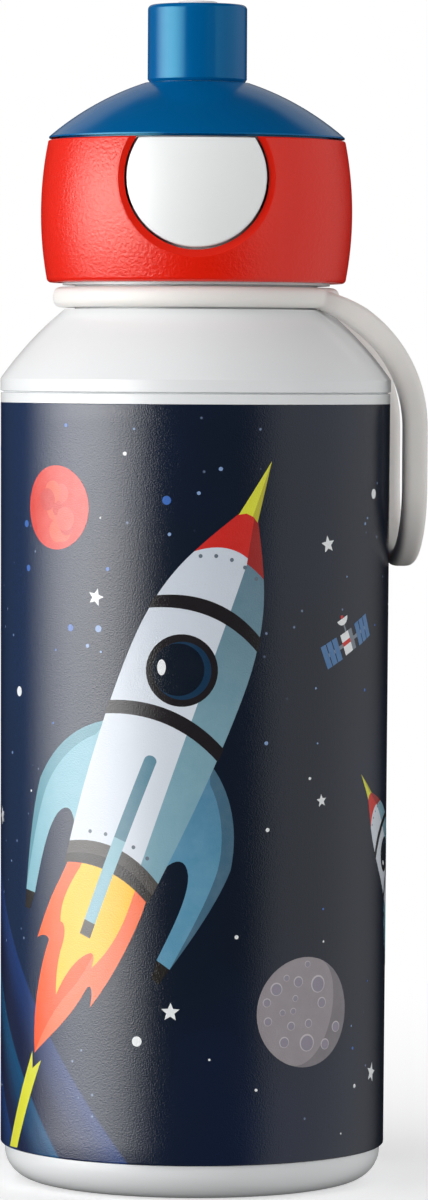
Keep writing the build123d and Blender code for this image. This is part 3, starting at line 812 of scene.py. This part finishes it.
def ringed_shapes():
    """A planet with a ring, for the back."""
    return [
        ("ring_back", disc(0, 0, 12.5, flat=0.26, turn=radians(18), steps=64)),
        ("gas", disc(0, 0, 7.2, steps=64)),
        ("gas_dark", disc(0.6, -2.2, 6.2, flat=0.34, turn=radians(18))),
        ("gas_light", disc(-0.6, 2.8, 5.0, flat=0.26, turn=radians(18))),
    ]


def satellite_shapes():
    """A small satellite: a body with a dish between two solar panels."""
    shapes = [("metal_dark", [(-6.4, -0.35), (6.4, -0.35), (6.4, 0.35), (-6.4, 0.35)])]
    for side in (-1, 1):
        for i in range(3):
            low = side * (2.8 + 1.5 * i)
            panel = [(low, -2.2), (low + side * 1.3, -2.2), (low + side * 1.3, 2.2), (low, 2.2)]
            shapes.append(("panel", panel if side > 0 else panel[::-1]))
    shapes += [
        ("glint", [(-1.7, -2.0), (1.7, -2.0), (1.7, 2.0), (-1.7, 2.0)]),
        ("metal_dark", [(0.6, -2.0), (1.7, -2.0), (1.7, 2.0), (0.6, 2.0)]),
        ("nose", [(-1.7, -0.3), (0.6, -0.3), (0.6, 0.5), (-1.7, 0.5)]),
        ("metal_dark", [(-0.2, 2.0), (0.2, 2.0), (0.2, 3.4), (-0.2, 3.4)]),
        ("glint", path(((-1.5, 4.6), (-1.2, 3.0), (1.2, 3.0), (1.5, 4.6)), (1.5, 4.6))),
        ("nose", disc(0, 4.9, 0.35, steps=14)),
    ]
    return shapes


def comet_shapes():
    """A comet with its tail to the left, for the back."""
    trail = path(
        (0.0, 1.5),
        ((0.0, 1.5), (-6.0, 1.2), (-12.0, 0.4), (-19.0, 0.0)),
        ((-19.0, 0.0), (-12.0, -0.6), (-6.0, -1.2), (0.0, -1.5)),
    )
    return [("trail", trail), ("glint", disc(0, 0, 1.6))]


# Each ink: colour, how much it drifts, and its fade with height.
INK_COLORS = {
    "hull": ("#d6dde6", 0.04, ("#ccd4df", 70, 120)),
    "shade": ("#7aa6b6", 0.08, ("#54788a", 62, 112)),
    "band": ("#1f1c1f", 0.01, None),
    "tail": ("#494542", 0.02, None),
    "tail_dark": ("#2a2725", 0.01, None),
    "nose": ("#cf2016", 0.03, None),
    "nose_dark": ("#9c1a14", 0.03, None),
    "spike": ("#dfdf2e", 0.05, None),
    "spike_dark": ("#b9b321", 0.05, None),
    "rivet": ("#5d6b78", 0.04, None),
    "window": ("#0a1726", 0.01, None),
    "window_glow": ("#0c3350", 0.02, None),
    "glint": ("#eef1f2", 0.02, None),
    "bar_dark": ("#4d8296", 0.08, None),
    "bar": ("#8dbcca", 0.06, None),
    "fin": ("#4f93b4", 0.10, ("#3f7fa2", 50, 72)),
    "fin_edge": ("#33627c", 0.08, None),
    "fin_light": ("#86bccb", 0.08, None),
    "fin_edge_light": ("#5f9bab", 0.07, None),
    "dark": ("#201c1a", 0.01, None),
    "flame": ("#fb5208", 0.03, ("#ff6420", 22, 50)),
    "flame_light": ("#ff7444", 0.04, None),
    "flame_core": ("#ffc62c", 0.03, None),
    "planet": ("#dc2a12", 0.08, None),
    "planet_light": ("#ea4a34", 0.10, None),
    "planet_dark": ("#d02616", 0.08, None),
    "planet_warm": ("#ea5028", 0.10, None),
    "moon": ("#989095", 0.10, None),
    "moon_dark": ("#79737a", 0.10, None),
    "crater": ("#8f8898", 0.08, None),
    "crater_rim": ("#c6bfc5", 0.06, None),
    "blue_dot": ("#2f66b8", 0.05, None),
    "pale_dot": ("#7e9cc9", 0.05, None),
    "panel": ("#2f6fa8", 0.10, None),
    "metal_dark": ("#77818c", 0.05, None),
    "gas": ("#3aa4a8", 0.08, None),
    "gas_dark": ("#2b7f8c", 0.08, None),
    "gas_light": ("#77c6bf", 0.08, None),
    "ring_back": ("#d8b86a", 0.08, None),
    "trail": ("#3a6cae", 0.10, None),
}
inks = {name: ink_look(name, *values) for name, values in INK_COLORS.items()}


# The large printed things: name, shapes, place, lean and scale.
MOTIFS = [
    ("print_rocket", rocket_shapes(), -15.5, 52.6, 21.9, 1.0),
    ("print_trail", streak_shapes(), -15.5, 52.6, 21.9, 0.93),
    ("print_planet", planet_shapes(7.0, seed=4), -25.5, 114.7, 0, 1.0),
    ("print_moon", moon_shapes(9.2, seed=7), 20.1, 31.1, 20, 1.0),
    ("print_satellite", satellite_shapes(), 29.5, 92.5, -24, 0.92),
    ("print_rocket_side", rocket_shapes(), 58.9, 41.9, -42, 0.5),
    ("print_ringed", ringed_shapes(), 72.0, 104.0, 0, 1.0),
    ("print_comet", comet_shapes(), -82.0, 88.0, 24, 1.0),
    ("print_planet_back", planet_shapes(8.6, seed=11), -74.0, 40.0, 0, 1.0),
    ("print_rocket_back", rocket_shapes(), 92.0, 42.0, 14, 0.62),
]

# Star places with the radius of each, then the places of the round stars.
STARS = [
    (-17.1, 100.0, 1.5), (24.2, 108.8, 1.5), (23.2, 66.2, 1.1), (-3.7, 31.6, 1.6), (38.6, 19.4, 1.7),
    (-46.0, 62.0, 1.6), (-58.0, 104.0, 1.5), (-66.0, 70.0, 1.2), (-92.0, 112.0, 1.7), (-96.0, 62.0, 1.3),
    (56.0, 84.0, 1.5), (66.0, 60.0, 1.2), (84.0, 78.0, 1.4), (74.0, 24.0, 1.6), (98.0, 118.0, 1.5),
    (-52.0, 24.0, 1.3), (52.0, 116.0, 1.3),
]
ROUND_STARS = [(-9.4, 26.6), (37.4, 117.0), (-36.2, 83.6), (-62.0, 52.0), (80.0, 46.0)]
ROUND_STAR_R = 0.85

# The dots that have a set place: place, radius and ink. The others are scattered.
DOTS = [
    (-4.7, 116.2, 0.75, "blue_dot"), (-16.6, 94.8, 0.6, "pale_dot"), (-22.2, 94.8, 0.6, "blue_dot"),
    (4.2, 121.4, 0.35, "pale_dot"), (0.6, 117.4, 0.32, "pale_dot"), (-4.2, 110.6, 0.3, "pale_dot"),
    (-33.0, 104.4, 0.55, "blue_dot"), (-33.6, 111.8, 0.6, "blue_dot"),
]
DOT_TRIES = 130
DOT_SIZES = (0.16, 0.2, 0.26, 0.34)
DOT_INKS = ("pale_dot", "blue_dot", "glint")


def kept_clear():
    """Circles that the scattered dots stay out of: place and radius."""
    front = [(-25.5, 114.7, 9), (20.1, 31.1, 11), (29.5, 92.5, 9)]
    back = [(72, 104, 14), (-74, 40, 10), (-86, 86, 12)]
    # a row of circles along each of the three rockets
    large = [(-25 + 3.73 * i, 28 + 9.28 * i, 20 if i < 5 else 13) for i in range(11)]
    side = [(58.9 - 5 * i, 41.9 + 5.6 * i, 12) for i in range(-3, 6)]
    rear = [(92 + 2.5 * i, 42 + 10 * i, 14) for i in range(-2, 5)]
    return front + back + large + side + rear + [(u, z, 2.5) for u, z, _ in STARS]


def print_stars(dice):
    """The pointed and the round stars."""
    shapes = [("glint", star(u, z, r, dice.uniform(-0.4, 0.4))) for u, z, r in STARS]
    shapes += [("glint", disc(u, z, ROUND_STAR_R, steps=20)) for u, z in ROUND_STARS]
    print_piece("print_stars", shapes)


def print_dots(dice):
    """Small dots for the far stars, clear of everything else."""
    circles = kept_clear()
    dots = list(DOTS)
    for _ in range(DOT_TRIES):
        u, z = dice.uniform(-102, 102), dice.uniform(9, 129)
        if all(hypot(u - cu, z - cz) >= clear for cu, cz, clear in circles):
            dots.append((u, z, dice.choice(DOT_SIZES), dice.choice(DOT_INKS)))
    print_piece("print_dots", [(ink, disc(u, z, r, steps=12)) for u, z, r, ink in dots])


def make_artwork():
    """Everything printed on the sleeve, all round it."""
    for name, shapes, u, z, lean, scale in MOTIFS:
        print_piece(name, placed(shapes, u, z, lean, scale))
    dice = random.Random(21)
    print_stars(dice)
    print_dots(dice)


make_artwork()


# ---- strap --------------------------------------------------------------------------

STRAND_DEPTH = 4.3 * MM
STRAND_WIDTH = 3.1 * MM
STRAND_CORNER = 1.25 * MM
STRAND_GAP = 12.5 * MM       # from the loop's middle to each strand
HANG_X = 35.6 * MM           # the loop hangs down here
BEND_R = 22.3 * MM           # and comes over from the ring on this radius
BEND_Z = 128.0 * MM
TURN_Z = 118.3 * MM          # where the round bottom of the loop begins
ROOT_X = 18.5 * MM           # the strand begins inside the ring
FULL_X = 26.0 * MM           # and has its full depth from here
ROOT_SHARE = 0.74            # share of that depth at its beginning


def strap_route():
    """The loop's centre line from one side of the ring, down, round and up again."""
    bend_x = HANG_X - BEND_R
    start = asin((ROOT_X - bend_x) / BEND_R)
    steps = 40
    down = []
    for i in range(steps + 1):
        a = start + (pi / 2 - start) * i / steps
        down.append(Vector((bend_x + BEND_R * sin(a), -STRAND_GAP, BEND_Z + BEND_R * cos(a))))
    for i in range(1, 9):
        down.append(Vector((HANG_X, -STRAND_GAP, BEND_Z + (TURN_Z - BEND_Z) * i / 8)))
    turn = []
    for i in range(1, 48):
        a = pi * i / 48
        turn.append(Vector((HANG_X, -STRAND_GAP * cos(a), TURN_Z - STRAND_GAP * sin(a))))
    up = [Vector((p.x, -p.y, p.z)) for p in reversed(down)]
    return down + turn + up


def strand_section():
    """Rounded rectangle: width lies in the loop's plane, depth points away from the bottle."""
    across = STRAND_WIDTH / 2 - STRAND_CORNER
    deep = STRAND_DEPTH / 2 - STRAND_CORNER
    points = []
    for sign_w, sign_d, start in ((1, 1, 0), (-1, 1, 90), (-1, -1, 180), (1, -1, 270)):
        points += quarter((sign_w * across, sign_d * deep), STRAND_CORNER, start, steps=4)
    return points


def loop_mesh():
    """The loop as points and faces."""
    route = strap_route()
    section = strand_section()
    points = []
    faces = []
    count = len(section)
    for i, center in enumerate(route):
        before = route[max(i - 1, 0)]
        after = route[min(i + 1, len(route) - 1)]
        along = (after - before).normalized()
        out = Vector((1, 0, 0)) if abs(along.x) < 1e-6 else Vector((along.z, 0, -along.x)).normalized()
        if out.x < 0:
            out.negate()
        side = along.cross(out).normalized()
        grown = min(1.0, (center.x - ROOT_X) / (FULL_X - ROOT_X))
        slim = ROOT_SHARE + (1 - ROOT_SHARE) * grown
        points += [center + side * p + out * q * slim for p, q in section]
        if i:
            low = (i - 1) * count
            high = i * count
            for j in range(count):
                k = (j + 1) % count
                faces.append((low + j, low + k, high + k, high + j))
    faces.append(tuple(reversed(range(count))))
    last = (len(route) - 1) * count
    faces.append(tuple(range(last, last + count)))
    return points, faces


def ring_profile():
    """Section of the ring that turns on the neck."""
    inner = 20.9 * MM
    outer = 24.3 * MM
    low = 148.1 * MM
    high = 151.6 * MM
    corner = 1.3 * MM
    ease = 0.4 * MM
    points = quarter((outer - corner, high - corner), corner, 0, 6)
    points += quarter((inner + ease, high - ease), ease, 90, 3)
    points += quarter((inner + ease, low + ease), ease, 180, 3)
    points += quarter((outer - corner, low + corner), corner, 270, 6)
    return points


def only(piece):
    for other in bpy.context.selected_objects:
        other.select_set(False)
    piece.select_set(True)
    bpy.context.view_layer.objects.active = piece


def make_strap():
    """Ring and loop grown together into one soft skin that bends where they meet."""
    ring = revolved("strap", ring_profile(), 240, soft)
    points, faces = loop_mesh()
    loop = mesh_object("strap_loop_part", points, faces, [soft])
    only(ring)
    loop.select_set(True)
    bpy.ops.object.join()
    remesh = ring.modifiers.new("remesh", "REMESH")
    remesh.mode = "VOXEL"
    remesh.voxel_size = 0.28 * MM
    remesh.use_smooth_shade = True
    smooth = ring.modifiers.new("smooth", "SMOOTH")
    smooth.factor = 0.5
    smooth.iterations = 9
    only(ring)
    bpy.ops.object.modifier_apply(modifier="remesh")
    bpy.ops.object.modifier_apply(modifier="smooth")
    turn = Matrix.Rotation(STRAP_ANGLE, 4, "Z")
    ring.data.transform(turn)
    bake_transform(ring)
    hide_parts("strap_ring", "strap_loop")


make_strap()


# ---- floor, light and camera --------------------------------------------------------

PURE_WHITE = (1.0, 1.0, 1.0, 1.0)


def make_floor():
    """A pale round floor that fades into the backdrop."""
    steps = 96
    radius = 1.6
    angles = [2 * pi * i / steps for i in range(steps)]
    points = [(0.0, -0.02, 0.0)] + [(radius * cos(a), radius * sin(a), 0.0) for a in angles]
    faces = [(0, i + 1, (i + 1) % steps + 1) for i in range(steps)]
    material = bpy.data.materials.new("floor")
    material.use_nodes = True
    tree = material.node_tree
    tree.nodes.clear()
    x, y, _ = place_on_object(tree)
    away = ramp_up(tree, distance(tree, x, y), 0.05, 0.32)
    near = add(tree, "BsdfDiffuse", {"Color": (0.82, 0.82, 0.83, 1.0)})
    glow = add(tree, "Emission", {"Color": PURE_WHITE, "Strength": 0.42})
    lit = add(tree, "AddShader", {0: near.outputs[0], 1: glow.outputs[0]})
    backdrop = add(tree, "Emission", {"Color": PURE_WHITE, "Strength": 1.0})
    mixed = add(tree, "MixShader", {0: away, 1: lit.outputs[0], 2: backdrop.outputs[0]})
    output = add(tree, "OutputMaterial")
    tree.links.new(mixed.outputs[0], output.inputs["Surface"])
    floor = mesh_object("floor", points, faces, [material])
    floor.visible_glossy = False
    floor.visible_diffuse = False


def softbox(tree, azimuth, elevation, level, across, upright):
    """A light patch in the surroundings; across and upright are the four angles of its two windows."""
    return product(tree, window(tree, azimuth, *across), window(tree, elevation, *upright), level)


def make_light():
    """A studio around the bottle. Azimuth is 0 in front (-Y) and grows towards +X; angles in degrees."""
    world = bpy.data.worlds.new("studio")
    bpy.context.scene.world = world
    world.use_nodes = True
    tree = world.node_tree
    tree.nodes.clear()
    x, y, z = add(tree, "SeparateXYZ", {0: add(tree, "TexCoord").outputs["Generated"]}).outputs
    azimuth = product(tree, calc(tree, "ARCTAN2", x, product(tree, y, -1.0)), 180 / pi)
    elevation = product(tree, calc(tree, "ARCSINE", z), 180 / pi)
    key = softbox(tree, azimuth, elevation, 9.0, (-118, -70, -60, -14), (-22, 3, 12, 24))
    key = product(tree, key, rest_of(tree, ramp_up(tree, azimuth, -30, -28)))
    left_rim = softbox(tree, azimuth, elevation, 0.06, (-160, -140, -112, -90), (-60, -40, 20, 40))
    right_box = softbox(tree, azimuth, elevation, 0.70, (41.5, 43, 96, 165), (-68, -60, 34, 42))
    right_box = product(tree, right_box, rest_of(tree, ramp_up(tree, azimuth, 143, 147)))
    either_side = calc(tree, "ABSOLUTE", azimuth)
    behind = softbox(tree, either_side, elevation, 0.4, (146, 154, 200, 210), (8, 16, 36, 44))
    total = 0.012
    for light in (key, left_rim, right_box, behind):
        total = calc(tree, "ADD", total, light)
    studio = add(tree, "Background", {"Color": PURE_WHITE, "Strength": total})
    backdrop = add(tree, "Background", {"Color": PURE_WHITE, "Strength": 1.0})
    seen = add(tree, "LightPath").outputs["Is Camera Ray"]
    mixed = add(tree, "MixShader", {0: seen, 1: studio.outputs[0], 2: backdrop.outputs[0]})
    output = add(tree, "OutputWorld")
    tree.links.new(mixed.outputs[0], output.inputs["Surface"])


def matte_light(name, azimuth, elevation, power):
    """A large soft light that brightens surfaces without showing in their gloss."""
    data = bpy.data.lights.new(name, "AREA")
    data.energy = power
    data.size = 0.8
    light = bpy.data.objects.new(name, data)
    bpy.context.scene.collection.objects.link(light)
    a = radians(azimuth)
    e = radians(elevation)
    away = Vector((sin(a) * cos(e), -cos(a) * cos(e), sin(e)))
    light.location = Vector((0, 0, 0.1)) + away * 1.2
    light.rotation_euler = away.to_track_quat("Z", "Y").to_euler()
    light.visible_glossy = False


def make_camera():
    """A long lens a metre in front, looking slightly down."""
    data = bpy.data.cameras.new("camera")
    data.sensor_width = 36.0
    data.lens = 175.44
    camera = bpy.data.objects.new("camera", data)
    bpy.context.scene.collection.objects.link(camera)
    turn = Matrix.Rotation(radians(-0.19), 4, "Z")
    tilt = Matrix.Rotation(radians(87.65), 4, "X")
    roll = Matrix.Rotation(radians(0.30), 4, "Z")
    place = Matrix.Translation((0.0, -0.995, 0.1393))
    camera.matrix_world = place @ turn @ tilt @ roll
    bpy.context.scene.camera = camera


make_floor()
make_light()
matte_light("left", azimuth=-75, elevation=15, power=0.3)
matte_light("fill", azimuth=38, elevation=12, power=4.8)
matte_light("top", azimuth=-30, elevation=62, power=3.0)
matte_light("back_left", azimuth=-150, elevation=30, power=2.6)
matte_light("back_right", azimuth=140, elevation=30, power=2.2)
make_camera()
bpy.context.scene.view_settings.view_transform = "Standard"
